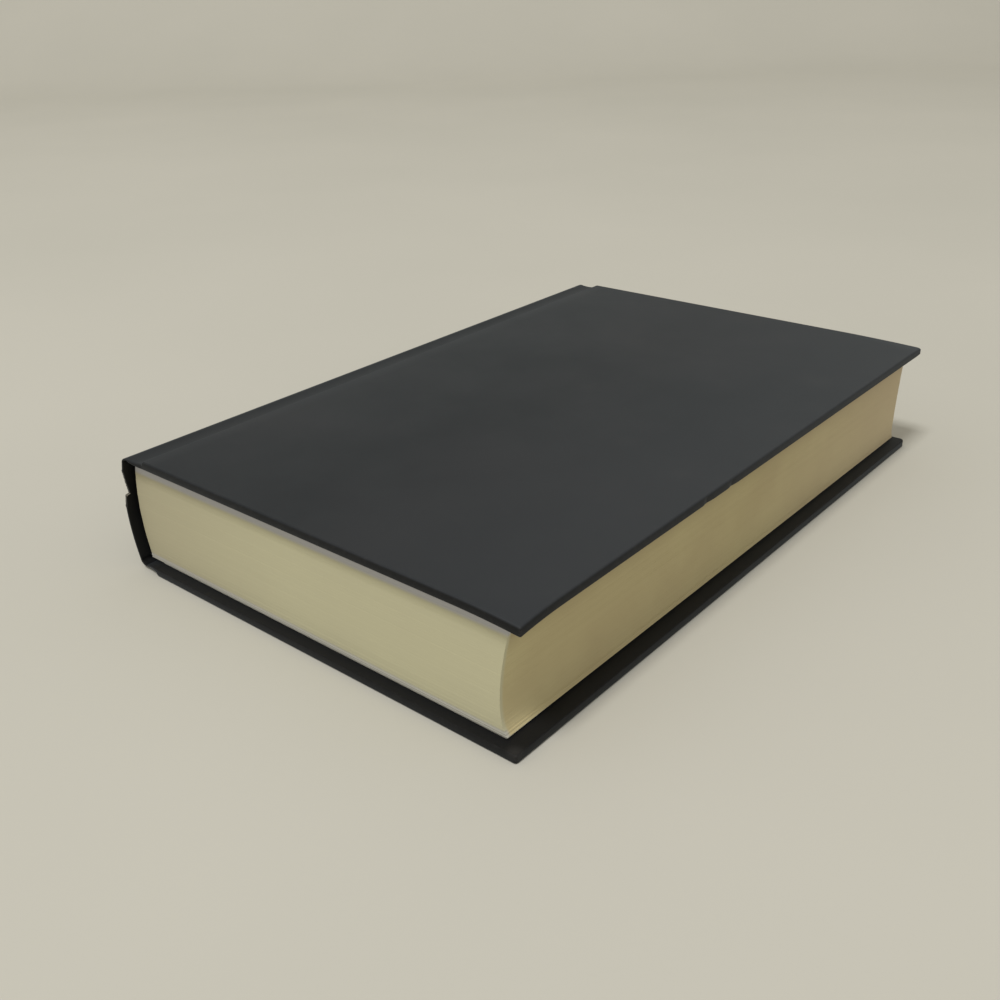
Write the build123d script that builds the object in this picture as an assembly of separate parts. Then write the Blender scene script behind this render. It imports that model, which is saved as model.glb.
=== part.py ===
from build123d import *
import math
import os

# Hardback book lying on its back cover, closed, without a jacket. Millimetres.
# X runs from the spine to the fore-edge, Y from the tail to the head, Z is up.
# The origin is the middle of the underside.

# Overall size of the case
case_width = 164.5
case_height = 243.2
case_thickness = 40.8

# Sheets and boards
board_thickness = 2.2
covering_thickness = 0.25
endpaper_thickness = 0.15
mull_thickness = 0.25
lining_thickness = 0.15
inlay_thickness = 0.5

# Squares: how far the boards stand past the pages, and past the pasted endpapers
end_square = 3.2
fore_edge_square = 4.95
pastedown_square = 6.3

# Turned-in edges and hidden flanges. The overrun and the shortfall are degrees of the page spine.
turn_in = 15.0
mull_flange = 25.0
mull_overrun = 0.3
lining_setback = 2.0
lining_short = 1.0
fold_setback = 0.6
tuck_clearance = 0.3
glue_line = 0.02
corner_round = 0.6
edge_round = 0.45

# The used case leans a little: the back cover sits nearer the spine and lower than the front one
back_lean = 1.3
end_lean = 0.6

# Air between the closed covers and the pages, and between the moving edges at a joint
cover_clearance = 0.3
joint_clearance = 0.4

# Spine: how far its back bulges past the joint line, and the soft shoulder beside each groove
spine_bulge = 6.5
shoulder_radius = 3.0
shoulder_setback = 1.0
shoulder_drop = 1.5
groove_width = 7.5
groove_angle = 12.0

# Pages: rounded at the spine. The fore-edge is hollow at the tail, nearly flat at the head, and
# leans: the first leaves stand furthest out.
page_setback = 1.0
page_round = 2.4
page_lean = 2.1
tail_hollow = 3.0
head_hollow = 0.45
hollow_low = 12.5
hinge_inset = 0.2

# Torn chip at the tail of the spine, measured from the tail end and from the underside
chip_depth = 1.85
chip_ledge = 25.8
chip_top = 34.9
chip_lip = 0.6
chip_foot = 20.4

# Places worked out from the sizes above
half_height = case_height / 2
middle = case_thickness / 2
spine_back = -case_width / 2
board_half = half_height - end_lean
fore_edge = case_width / 2
joint_line = spine_back + spine_bulge
page_half = board_half - end_square
window_half = board_half - turn_in - tuck_clearance

board_spine_edge = joint_line + groove_width
wall_face = board_spine_edge - covering_thickness
strip_end = wall_face - joint_clearance

board_inner = case_thickness - covering_thickness - board_thickness
turn_in_face = board_inner - covering_thickness
pastedown_face = turn_in_face - endpaper_thickness
flyleaf_face = pastedown_face - cover_clearance
page_top = flyleaf_face - endpaper_thickness
page_fore_edge = fore_edge - fore_edge_square
page_bottom = case_thickness - page_top
page_spine_edge = joint_line - page_setback

hinge_x = joint_line + hinge_inset
hinge_top = pastedown_face - cover_clearance / 2


def along_book(section, low, high):
    """Stretch an XZ section from y = low to y = high."""
    plane = Plane(origin=(0, high, 0), x_dir=(1, 0, 0), z_dir=(0, -1, 0))
    return extrude(plane * section, amount=high - low)


def block(x_low, x_high, y_half, z_low, z_high):
    """A straight-sided solid, centred across the book's height."""
    size = (x_high - x_low, 2 * y_half, z_high - z_low)
    centre = ((x_low + x_high) / 2, 0, (z_low + z_high) / 2)
    return Pos(*centre) * Box(*size)


def turned_over(piece):
    """The book is alike above and below its middle."""
    return mirror(piece, about=Plane.XY.offset(middle))


def at_front(piece):
    """A front cover piece in place: the front cover sits a little towards the head."""
    return Pos(0, end_lean, 0) * piece


def at_back(piece):
    """The same piece turned over for the back cover, nearer the spine and the tail."""
    return Pos(-back_lean, -end_lean, 0) * turned_over(piece)


def narrowed_at_back(piece):
    """Cut back the lower groove strip, where the back cover sits nearer the spine."""
    width = back_lean + 1
    cutter = block(strip_end - back_lean, strip_end - back_lean + width, half_height, -1, middle)
    return piece - cutter


def point_on(centre, radius, degrees):
    """The point of a circle at an angle counted from +X towards +Z."""
    angle = math.radians(degrees)
    return (centre[0] + radius * math.cos(angle), centre[1] + radius * math.sin(angle))


def arc_points(centre, radius, first, last):
    """Start, middle and end of an arc, in the direction in which the angles run."""
    return [point_on(centre, radius, degrees) for degrees in (first, (first + last) / 2, last)]


def arc_between(centre, radius, first, last):
    return ThreePointArc(*arc_points(centre, radius, first, last))


# Spine section. The round back is an arc that runs into a small arc at each shoulder.
shoulder = (joint_line - shoulder_setback, case_thickness - shoulder_drop - shoulder_radius)
back_reach = spine_back - shoulder[0]
shoulder_rise = shoulder[1] - middle
back_radius = (shoulder_radius**2 - back_reach**2 - shoulder_rise**2) / (
    2 * (back_reach + shoulder_radius)
)
back_centre = (spine_back + back_radius, middle)
back_half_angle = math.degrees(math.asin(shoulder_rise / (back_radius - shoulder_radius)))

# Groove section. A shallow hollow arc from the shoulder to the board's edge.
groove_start = point_on(shoulder, shoulder_radius, 90 - groove_angle)
groove_half_chord = (strip_end - groove_start[0]) / 2
groove_radius = groove_half_chord / math.sin(math.radians(groove_angle))
groove_centre = (
    groove_start[0] + groove_half_chord,
    groove_start[1] + groove_radius * math.cos(math.radians(groove_angle)),
)

# Page spine section, which the mull and the lining follow.
page_half_rise = page_top - middle
page_radius = (page_half_rise**2 + page_round**2) / (2 * page_round)
page_centre = (page_spine_edge - page_round + page_radius, middle)
page_half_angle = math.degrees(math.asin(page_half_rise / page_radius))


def path_round(upper_arcs, back):
    """Arcs above the middle, the arc at the back, and the same arcs below the middle."""
    lower_arcs = []
    for points in reversed(upper_arcs):
        lower_arcs.append([(x, case_thickness - z) for x, z in reversed(points)])
    return [ThreePointArc(*points) for points in upper_arcs + [back] + lower_arcs]


def spine_path():
    """Outside of the covering, from groove to groove round the back."""
    groove = arc_points(groove_centre, groove_radius, 270 + groove_angle, 270 - groove_angle)
    turn = arc_points(shoulder, shoulder_radius, 90 - groove_angle, 180 - back_half_angle)
    back = arc_points(back_centre, back_radius, 180 - back_half_angle, 180 + back_half_angle)
    return path_round([groove, turn], back)


def sheet_section(path, thickness):
    """A sheet of even thickness on the inner side of a path."""
    outline = Wire(path).offset_2d(thickness, side=Side.LEFT, closed=True)
    return make_face(outline.edges())


def inlay_section():
    radius = back_radius - covering_thickness
    path = [arc_between(back_centre, radius, 180 - back_half_angle, 180 + back_half_angle)]
    return sheet_section(path, inlay_thickness)


def inside_section():
    """All that the spine path encloses, closed by a straight line across the groove ends."""
    path = spine_path()
    start = path[0] @ 0
    end = path[-1] @ 1
    return make_face(path + [Line(end, start)])


def chip():
    """The torn place at the tail of the spine, through the covering and the inlay."""
    tail = -board_half
    outline = [
        (tail - 1, chip_top),
        (tail, chip_top),
        (tail + 0.4 * chip_depth, (chip_top + chip_ledge) / 2 + 1),
        (tail + chip_depth, chip_ledge),
        (tail + chip_lip, chip_ledge - 0.2),
        (tail, chip_foot),
        (tail - 1, chip_foot),
    ]
    torn = make_face(Plane.YZ * Polyline(*outline, close=True))
    return extrude(Pos(spine_back - 1, 0, 0) * torn, amount=spine_bulge - 1, dir=(1, 0, 0))


def spine_covering():
    """Covering sheet over the spine and both grooves, turned in at the head and the tail."""
    path = spine_path()
    sheet = sheet_section(path, covering_thickness)
    inlay = inlay_section()
    stack = sheet + inlay
    folded_in = (offset(stack, amount=covering_thickness) - stack) & inside_section()
    inner_end = board_half - turn_in
    cap_end = board_half - covering_thickness
    piece = along_book(sheet, -board_half, board_half)
    for side in (-1, 1):
        band = sorted((side * inner_end, side * board_half))
        cap = sorted((side * cap_end, side * board_half))
        piece += along_book(folded_in, *band)
        piece += along_book(inlay, *cap)
    return narrowed_at_back(piece) - chip()


def spine_inlay():
    """Thin card behind the covering that keeps the hollow spine round."""
    half = board_half - covering_thickness
    return along_book(inlay_section(), -half, half) - chip()


def beyond_fore_edge(hollow, y):
    """Section at one end of the space in front of the fore-edge curve."""
    low_x = page_fore_edge - page_lean
    depth = 4 / 3 * hollow
    curve = Bezier(
        (low_x, page_bottom),
        (low_x - depth, page_bottom + hollow_low / 3),
        (page_fore_edge - depth, 2 * hollow_low),
        (page_fore_edge, page_top),
    )
    outside = Polyline(
        (page_fore_edge, page_top),
        (page_fore_edge, page_top + 1),
        (fore_edge + 1, page_top + 1),
        (fore_edge + 1, page_bottom - 1),
        (low_x, page_bottom - 1),
        (low_x, page_bottom),
    )
    plane = Plane(origin=(0, y, 0), x_dir=(1, 0, 0), z_dir=(0, -1, 0))
    return plane * make_face([curve] + outside.edges())


def text_block():
    """All pages as one solid: round at the spine, hollow at the fore-edge."""
    spine_curve = arc_between(page_centre, page_radius, 180 - page_half_angle, 180 + page_half_angle)
    front = Polyline(
        spine_curve @ 1, (fore_edge, page_bottom), (fore_edge, page_top), spine_curve @ 0
    )
    section = make_face([spine_curve] + front.edges())
    untrimmed = along_book(section, -page_half, page_half)
    ends = [beyond_fore_edge(tail_hollow, -page_half), beyond_fore_edge(head_hollow, page_half)]
    return untrimmed - loft(ends, ruled=True)


def flyleaf(end):
    """Free half of an endpaper up to its fore-edge, tipped to the pages at its fold."""
    fold = page_spine_edge + fold_setback
    return block(fold, end, page_half, page_top, flyleaf_face)


def board():
    edge = fore_edge - covering_thickness
    half = board_half - covering_thickness
    top = case_thickness - covering_thickness
    return block(board_spine_edge, edge, half, board_inner, top)


def covering():
    """Covering sheet round the front board, turned in 15 mm at three edges."""
    piece = block(wall_face, fore_edge, board_half, turn_in_face, case_thickness)
    upright = piece.edges().filter_by(Axis.Z).group_by(Axis.X)[-1]
    piece = fillet(upright, corner_round)
    rim = piece.faces().sort_by(Axis.Z)[-1].edges()
    piece = fillet(rim, edge_round)
    bare = block(
        wall_face - 1, fore_edge - turn_in, board_half - turn_in, turn_in_face - 1, board_inner
    )
    return piece - board() - bare


def mull_flange_piece():
    """Gauze flange pasted to the inside of the front board, under the endpaper."""
    end = board_spine_edge + mull_flange
    return block(board_spine_edge, end, window_half, turn_in_face, board_inner)


def pastedown():
    """Pasted half of the front endpaper: it sinks between the turn-ins and the flange."""
    end = fore_edge - pastedown_square
    sheet = block(board_spine_edge, end, page_half, pastedown_face, turn_in_face)
    sunk_start = board_spine_edge + mull_flange + tuck_clearance
    sunk_end = fore_edge - turn_in - tuck_clearance
    outer = block(sunk_start, sunk_end, window_half, pastedown_face, board_inner)
    wall = endpaper_thickness
    pan = block(
        sunk_start + wall,
        sunk_end - wall,
        window_half - wall,
        pastedown_face - 1,
        board_inner - wall,
    )
    return sheet + outer - pan


def spine_mull():
    """Gauze glued round the page spine, which runs out under both grooves."""
    radius = groove_radius + covering_thickness + glue_line
    groove_end = math.degrees(math.asin((strip_end - groove_centre[0]) / radius))
    under_groove = arc_points(groove_centre, radius, 270 + groove_end, 270 - groove_angle / 2)
    spread = page_half_angle + mull_overrun
    on_pages = arc_points(page_centre, page_radius + mull_thickness, 180 - spread, 180 + spread)
    start = under_groove[-1]
    end = on_pages[0]
    bend = ((start[0] + end[0]) / 2, (7 * start[1] + end[1]) / 8)
    path = path_round([under_groove, [start, bend, end]], on_pages)
    piece = along_book(sheet_section(path, mull_thickness), -window_half, window_half)
    return narrowed_at_back(piece)


def spine_lining():
    """Strip of brown paper over the mull, a little shorter than the pages."""
    radius = page_radius + mull_thickness + lining_thickness
    spread = page_half_angle - lining_short
    path = [arc_between(page_centre, radius, 180 - spread, 180 + spread)]
    half = page_half - lining_setback
    return along_book(sheet_section(path, lining_thickness), -half, half)


pieces = {
    "text_block": text_block(),
    "front_flyleaf": flyleaf(page_fore_edge),
    "back_flyleaf": turned_over(flyleaf(page_fore_edge - page_lean)),
    "spine_mull": spine_mull(),
    "spine_lining": spine_lining(),
    "spine_inlay": spine_inlay(),
    "spine_covering": spine_covering(),
}
cover_pieces = {
    "board": board(),
    "covering": covering(),
    "mull_flange": mull_flange_piece(),
    "pastedown": pastedown(),
}
for name, piece in cover_pieces.items():
    pieces["front_" + name] = at_front(piece)
    pieces["back_" + name] = at_back(piece)

os.makedirs("parts", exist_ok=True)
for name, piece in pieces.items():
    export_step(piece, "parts/" + name + ".step")

print("hinge axes at x", round(hinge_x, 3), "z", round(hinge_top, 3), round(case_thickness - hinge_top, 3))
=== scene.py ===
import bmesh
import bpy
import math
import random
from mathutils import Matrix, Vector, noise


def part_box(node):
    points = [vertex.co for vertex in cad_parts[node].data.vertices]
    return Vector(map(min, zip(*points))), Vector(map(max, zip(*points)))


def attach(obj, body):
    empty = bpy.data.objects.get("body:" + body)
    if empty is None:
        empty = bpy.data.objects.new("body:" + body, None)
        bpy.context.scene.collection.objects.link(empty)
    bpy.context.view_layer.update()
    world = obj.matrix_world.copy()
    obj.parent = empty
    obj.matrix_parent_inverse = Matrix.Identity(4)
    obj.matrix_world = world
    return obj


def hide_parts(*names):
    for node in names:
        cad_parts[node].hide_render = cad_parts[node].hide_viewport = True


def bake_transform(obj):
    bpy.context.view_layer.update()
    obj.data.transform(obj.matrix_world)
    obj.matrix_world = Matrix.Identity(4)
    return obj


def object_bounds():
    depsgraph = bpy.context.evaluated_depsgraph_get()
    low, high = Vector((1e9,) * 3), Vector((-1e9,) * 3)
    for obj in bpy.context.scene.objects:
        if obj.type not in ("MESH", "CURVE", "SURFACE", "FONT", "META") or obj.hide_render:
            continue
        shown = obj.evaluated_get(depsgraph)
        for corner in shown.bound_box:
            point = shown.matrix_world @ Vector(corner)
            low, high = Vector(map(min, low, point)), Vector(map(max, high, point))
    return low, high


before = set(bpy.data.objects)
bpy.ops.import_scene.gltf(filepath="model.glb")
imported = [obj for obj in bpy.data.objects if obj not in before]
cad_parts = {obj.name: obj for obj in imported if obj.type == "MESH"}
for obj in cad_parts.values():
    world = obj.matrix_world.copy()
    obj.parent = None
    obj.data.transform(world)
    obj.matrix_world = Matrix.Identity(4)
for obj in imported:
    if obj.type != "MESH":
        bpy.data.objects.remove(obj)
cad_low, cad_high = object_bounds()

# Text block. About 350 cream leaves, folded in sections, glued at the spine and then trimmed on
# three sides. Use has made the block lean: its first leaves stand furthest out at the fore-edge,
# which is hollow at the tail and nearly flat at the head. The last leaves have worked loose.
mm = 0.001
page_low, page_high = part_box("text_block")
page_round = 2.4 * mm
tail_lean = 2.2 * mm
head_lean = 0.8 * mm
tail_hollow = 3.0 * mm
head_hollow = 0.45 * mm
hollow_low = 12.5 * mm
# A real leaf is 0.1 mm thick: three share one step of the mesh, the finest that the picture can show.
leaf_step = 0.33 * mm
section_leaves = 5
leaf_play = 0.012 * mm
section_play = 0.02 * mm
edge_wave = 0.04 * mm
wave_length = 35 * mm
row_drift = 0.11
# Near the back cover a few leaves stand out, with thin gaps between them.
loose_height = 1.7 * mm
loose_reach = 0.35 * mm
least_reach = 0.2
least_loose = 0.05
gap_depth = 0.5 * mm
gap_height = 0.07 * mm
# Steps of the mesh along the tail and the head, along the fore-edge and along the spine.
end_steps = 36
fore_steps = 48
spine_steps = 6
share_halvings = 30

middle = (cad_low.z + cad_high.z) / 2
page_half_rise = (page_high.z - page_low.z) / 2
page_radius = (page_half_rise**2 + page_round**2) / (2 * page_round)
page_centre_x = page_low.x + page_radius


def page_spine_x(z):
    """The round of the page spine at one height."""
    return page_centre_x - math.sqrt(page_radius**2 - (z - middle) ** 2)


def fore_edge_share(z):
    """How far along the fore-edge curve, from the last leaf to the first, a height lies."""
    low, high = 0.0, 1.0
    # The heights of a cubic curve's four points, bunched low down, where the hollow is deepest.
    heights = (page_low.z, page_low.z + hollow_low / 3, 2 * hollow_low, page_high.z)
    for _ in range(share_halvings):
        t = (low + high) / 2
        shares = ((1 - t) ** 3, 3 * t * (1 - t) ** 2, 3 * t * t * (1 - t), t**3)
        if sum(share * height for share, height in zip(shares, heights)) < z:
            low = t
        else:
            high = t
    return t


def fore_edge_x(t, y):
    """The fore-edge at one share of its curve: the hollow grows shallower towards the head."""
    towards_head = (y - page_low.y) / (page_high.y - page_low.y)
    hollow = tail_hollow + (head_hollow - tail_hollow) * towards_head
    lean = tail_lean + (head_lean - tail_lean) * towards_head
    last_leaves = (1 - t) ** 3 + 3 * t * (1 - t) ** 2
    return page_high.x - lean * last_leaves - 4 * hollow * t * (1 - t)


def leaf_outline(z, reach, row):
    """Outline of the leaves at one height. Reach: how far they stand out at tail, fore-edge, head."""
    tail_reach, fore_reach, head_reach = reach
    tail_y = page_low.y - tail_reach
    head_y = page_high.y + head_reach
    spine_x = page_spine_x(z)
    share = fore_edge_share(z)
    tail_x = fore_edge_x(share, tail_y) + fore_reach
    head_x = fore_edge_x(share, head_y) + fore_reach
    outline = []

    def wave(side, place):
        """The faint wave of one side. Each starts a metre further on in the noise, so they differ."""
        return edge_wave * noise.noise(Vector(((place + side) / wave_length, row * row_drift, 0)))

    for step in range(end_steps):
        x = spine_x + (tail_x - spine_x) * step / end_steps
        outline.append((x, tail_y + wave(0, x), z))
    for step in range(fore_steps):
        y = tail_y + (head_y - tail_y) * step / fore_steps
        outline.append((fore_edge_x(share, y) + fore_reach + wave(1, y), y, z))
    for step in range(end_steps):
        x = head_x - (head_x - spine_x) * step / end_steps
        outline.append((x, head_y + wave(2, x), z))
    for step in range(spine_steps):
        outline.append((spine_x, head_y - (head_y - tail_y) * step / spine_steps, z))
    return outline


def mesh_piece(name, mesh, smooth):
    """Turn finished mesh data into an object in the scene."""
    data = bpy.data.meshes.new(name)
    mesh.to_mesh(data)
    mesh.free()
    for polygon in data.polygons:
        polygon.use_smooth = smooth
    piece = bpy.data.objects.new(name, data)
    bpy.context.scene.collection.objects.link(piece)
    return piece


random.seed(11)
leaves = []
leaf_z = page_low.z
row = 0
section_reach = (0, 0, 0)
while leaf_z < page_high.z - leaf_step / 2:
    if row % section_leaves == 0:
        section_reach = [random.uniform(-1, 1) * section_play for _ in range(3)]
    loose = max(0, 1 - (leaf_z - page_low.z) / loose_height)
    reach = []
    for side in range(3):
        play = random.uniform(-1, 1) * leaf_play
        stand_out = loose_reach * loose * random.uniform(least_reach, 1)
        reach.append(section_reach[side] + play + stand_out)
    top = min(leaf_z + leaf_step, page_high.z)
    opened = loose > least_loose and row % 2 == 1
    if opened:
        top -= gap_height
    leaves.append((leaf_z, top, reach, row))
    if opened:
        leaves.append((top, top + gap_height, [each - gap_depth for each in reach], row))
        top += gap_height
    leaf_z = top
    row += 1

block_mesh = bmesh.new()
rings = []
for low_z, high_z, reach, row in leaves:
    for z in (low_z, high_z):
        rings.append([block_mesh.verts.new(point) for point in leaf_outline(z, reach, row)])
for lower, upper in zip(rings, rings[1:]):
    for here in range(len(lower)):
        ahead = (here + 1) % len(lower)
        block_mesh.faces.new((lower[here], lower[ahead], upper[ahead], upper[here]))
block_mesh.faces.new(rings[0][::-1])
block_mesh.faces.new(rings[-1])
text_block = mesh_piece("text_block_leaves", block_mesh, smooth=False)


def linear(hex_colour):
    """An sRGB hex colour as linear RGBA."""
    colour = []
    for place in (0, 2, 4):
        value = int(hex_colour[place:place + 2], 16) / 255
        colour.append(value / 12.92 if value <= 0.04045 else ((value + 0.055) / 1.055) ** 2.4)
    return (*colour, 1)


def fill_inputs(material, node, inputs):
    """Give each named input a value, or link it to a socket."""
    for name, value in inputs.items():
        if isinstance(value, bpy.types.NodeSocket):
            material.node_tree.links.new(value, node.inputs[name])
        else:
            node.inputs[name].default_value = value


def add_node(material, kind, inputs, **settings):
    """Add one node: its settings, and for each input a value or the socket that it is linked to."""
    node = material.node_tree.nodes.new(kind)
    for name, value in settings.items():
        setattr(node, name, value)
    fill_inputs(material, node, inputs)
    return node


def new_material(name):
    """A new node material, its shader, and the socket that gives a place on the object in metres."""
    material = bpy.data.materials.new(name)
    material.use_nodes = True
    place = add_node(material, "ShaderNodeTexCoord", {}).outputs["Object"]
    return material, material.node_tree.nodes["Principled BSDF"], place


def lay_tone(material, under, colour, pattern, start, full, most, ease="LINEAR"):
    """Lay a colour over a tone, from nothing where a pattern starts to its most where it is full."""
    share = add_node(
        material, "ShaderNodeMapRange",
        {"Value": pattern, "From Min": start, "From Max": full, "To Max": most},
        interpolation_type=ease,
    )
    return add_node(
        material, "ShaderNodeMix", {"Factor": share.outputs[0], 6: under, 7: colour}, data_type="RGBA"
    ).outputs[2]


# Bulky cream book paper with guillotined edges: matt and even, with faint fine lines along the
# leaves, a hardly visible change from section to section, and soft clouds where it was handled.
# Painted shade browns the top of the fore-edge under the front board. The tail is painted paler
# and less yellow, for the less warm light that it gets; its lowest leaves are grey, and a painted
# cool shade lies along its top under the board.
leaf_line = 0.5 * mm
leaf_line_length = 60 * mm
section_line = 2.4 * mm
section_line_length = 260 * mm
cloud_size = 32 * mm
cream = linear("C7BB90")
cream_shade = linear("BEB186")
cream_cloud = linear("BAAB84")
# Painted shade: the browner cream at the top of the fore-edge, under the front board.
painted_shade_cream = linear("AFA17D")
head_cream = linear("D1BFA6")
# Painted light: the paler, less yellow cream of the tail face, for the less warm light it gets.
tail_lit_cream = linear("C5C3A6")
spine_shade = linear("B6AF93")
clean_leaves = linear("B3B2AF")
# Painted shade: the cool grey of the tail's top leaves, in the shadow of the front board.
painted_shade_grey = linear("BAB9BB")
# How much of the tail's painted light tone is laid over the cream.
tail_light_share = 0.75
# The tail's tone starts and is full this far in from its end.
tail_start = 1.5 * mm
tail_full = 0.5 * mm
# Tones by place: the colour, its axis, where it starts and is full, its strength there and its ease.
fore_edge_tones = (
    # Painted shade, darkest just under the front board.
    (painted_shade_cream, "Z", page_high.z - 11 * mm, page_high.z - 2 * mm, 1, "SMOOTHSTEP"),
    (head_cream, "Y", 0, page_high.y, 0.5, "LINEAR"),
)
tail_tones = (
    (spine_shade, "X", -5 * mm, page_low.x, 1, "LINEAR"),
    (clean_leaves, "Z", page_low.z + 1.9 * mm, page_low.z + 1.14 * mm, 0.7, "SMOOTHSTEP"),
    # Painted cool shade under the front board.
    (painted_shade_grey, "Z", page_high.z - 4.3 * mm, page_high.z - 2.795 * mm, 0.9, "SMOOTHSTEP"),
)

book_paper, surface, place = new_material("bulky_cream_book_paper_trimmed")
lines = []
for width, length, detail, roughness in (
    (leaf_line, leaf_line_length, 3, 0.65), (section_line, section_line_length, 2, 0.5),
):
    scale = (1 / length, 1 / length, 1 / width)
    line_place = add_node(book_paper, "ShaderNodeMapping", {"Vector": place, "Scale": scale})
    lines.append(add_node(
        book_paper, "ShaderNodeTexNoise",
        {"Vector": line_place.outputs[0], "Scale": 1, "Detail": detail, "Roughness": roughness},
    ))
leaf_noise, section_noise = lines
clouds = add_node(
    book_paper, "ShaderNodeTexNoise", {"Vector": place, "Scale": 1 / cloud_size, "Detail": 4}
)
clouded = cream
for layer in (
    (cream_shade, leaf_noise.outputs[0], 0.4, 0.8, 0.2),
    (cream_shade, section_noise.outputs[0], 0.4, 0.7, 0.2),
    (cream_cloud, clouds.outputs[0], 0.4, 0.75, 0.8),
):
    clouded = lay_tone(book_paper, clouded, *layer)
# Painted light: the tail face is paler and less yellow than the fore-edge.
tail_lit = add_node(
    book_paper, "ShaderNodeMix", {"Factor": tail_light_share, 6: clouded, 7: tail_lit_cream}, data_type="RGBA"
)
axes = add_node(book_paper, "ShaderNodeSeparateXYZ", {"Vector": place})
toned = []
for tone, tones in ((clouded, fore_edge_tones), (tail_lit.outputs[2], tail_tones)):
    for colour, axis, *reach in tones:
        tone = lay_tone(book_paper, tone, colour, axes.outputs[axis], *reach)
    toned.append(tone)
tail_end = add_node(
    book_paper, "ShaderNodeMapRange",
    {
        "Value": axes.outputs["Y"], "From Min": page_low.y + tail_start,
        "From Max": page_low.y + tail_full,
    },
)
edge_tone = add_node(
    book_paper, "ShaderNodeMix", {"Factor": tail_end.outputs[0], 6: toned[0], 7: toned[1]},
    data_type="RGBA",
)
leaf_bump = add_node(
    book_paper, "ShaderNodeBump",
    {"Height": leaf_noise.outputs[0], "Strength": 0.08, "Distance": 0.03 * mm},
)
fill_inputs(book_paper, surface, {
    "Base Color": edge_tone.outputs[2], "Normal": leaf_bump.outputs[0],
    "Roughness": 0.9, "IOR": 1.5, "Specular IOR Level": 0.2,
})

text_block.data.materials.append(book_paper)
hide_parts("text_block")
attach(text_block, "book_block")

# Boards. Two plates of dense grey board, cut square by a guillotine. They are wholly wrapped in the
# covering and the endpaper. Knocks have bent the front board's two fore-edge corners down, crushed
# and rounded the one at the head, and blunted the back board's two corners.
cover_low, cover_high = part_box("front_covering")
board_low, board_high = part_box("front_board")
back_board_low, back_board_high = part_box("back_board")
corner_round = 0.5 * mm
front_head_round = 2.2 * mm
back_tail_round = 0.9 * mm
back_head_round = 2.0 * mm
cover_paper = 0.25 * mm
board_arris = 0.3 * mm
corner_steps = 6
bend_cuts = 6
# Each bent corner: where it is, how deep the bend and the crushing below are, and how far the bend
# runs along the end and the fore-edge.
bent_corners = (
    (cover_low.y, -1, 0.9 * mm, 0, 22 * mm, 16 * mm),
    (cover_high.y, 1, 0.7 * mm, 1.1 * mm, 34 * mm, 12 * mm),
)


def droop(x, y, z):
    """How far the front cover is bent down at one place."""
    below = (cover_high.z - z) / (cover_high.z - cover_low.z)
    bent = 0
    for end_y, _, depth, crushed, along_end, along_edge in bent_corners:
        share = max(0, 1 - (cover_high.x - x) / along_end - abs(y - end_y) / along_edge)
        bent += depth * share * share - crushed * below * share**3
    return bent


def board_plate(name, low, high, tail_round, head_round, bent):
    """A plate with rounded corners at the fore-edge and a slight arris round both faces."""
    outline = [(low.x, low.y), (low.x, high.y)]
    for radius, centre_y, first in (
        (head_round, high.y - head_round, 90),
        (tail_round, low.y + tail_round, 0),
    ):
        for turn in range(corner_steps + 1):
            angle = math.radians(first - 90 * turn / corner_steps)
            x = high.x - radius + radius * math.cos(angle)
            outline.append((x, centre_y + radius * math.sin(angle)))
    mesh = bmesh.new()
    face = mesh.faces.new([mesh.verts.new((x, y, low.z)) for x, y in outline])
    raised = bmesh.ops.extrude_face_region(mesh, geom=[face])
    lifted = [part for part in raised["geom"] if isinstance(part, bmesh.types.BMVert)]
    bmesh.ops.translate(mesh, verts=lifted, vec=(0, 0, high.z - low.z))
    bmesh.ops.recalc_face_normals(mesh, faces=mesh.faces)
    rims = [edge for edge in mesh.edges if abs(edge.verts[0].co.z - edge.verts[1].co.z) < board_arris]
    bmesh.ops.bevel(mesh, geom=rims, offset=board_arris, segments=2, profile=0.5, affect="EDGES")
    if bent:
        for end_y, outward, _, _, along_end, along_edge in bent_corners:
            for step in range(1, bend_cuts + 1):
                cut = (cover_high.x - along_end * step / bend_cuts, end_y, 0)
                across = (1 / along_end, outward / along_edge, 0)
                parts = [*mesh.verts, *mesh.edges, *mesh.faces]
                bmesh.ops.bisect_plane(mesh, geom=parts, plane_co=cut, plane_no=across)
        for vertex in mesh.verts:
            vertex.co.z -= droop(*vertex.co)
    return mesh_piece(name, mesh, smooth=False)


front_plate = board_plate(
    "front_board_plate", board_low, board_high,
    corner_round - cover_paper, front_head_round - cover_paper, bent=True,
)
back_plate = board_plate(
    "back_board_plate", back_board_low, back_board_high,
    back_tail_round - cover_paper, back_head_round - cover_paper, bent=False,
)

# Dense millboard of pulped waste paper: matt grey, with flecks of lighter and darker fibre.
fleck_size = 0.8 * mm
pulp_size = 9 * mm
board_grey = linear("8C877E")
board_dark = linear("77726A")
board_fleck = linear("9B968C")
greyboard, surface, place = new_material("dense_greyboard_guillotined")
flecks = add_node(
    greyboard, "ShaderNodeTexNoise", {"Vector": place, "Scale": 1 / fleck_size, "Detail": 3}
)
pulp = add_node(greyboard, "ShaderNodeTexNoise", {"Vector": place, "Scale": 1 / pulp_size, "Detail": 3})
grey = add_node(
    greyboard, "ShaderNodeMix", {"Factor": pulp.outputs[0], 6: board_grey, 7: board_dark},
    data_type="RGBA",
)
flecked = lay_tone(greyboard, grey.outputs[2], board_fleck, flecks.outputs[0], 0.4, 0.65, 1)
board_bump = add_node(
    greyboard, "ShaderNodeBump", {"Height": flecks.outputs[0], "Strength": 0.4, "Distance": 0.08 * mm}
)
fill_inputs(greyboard, surface, {
    "Base Color": flecked, "Normal": board_bump.outputs[0], "Roughness": 0.9, "IOR": 1.5,
})

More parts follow.
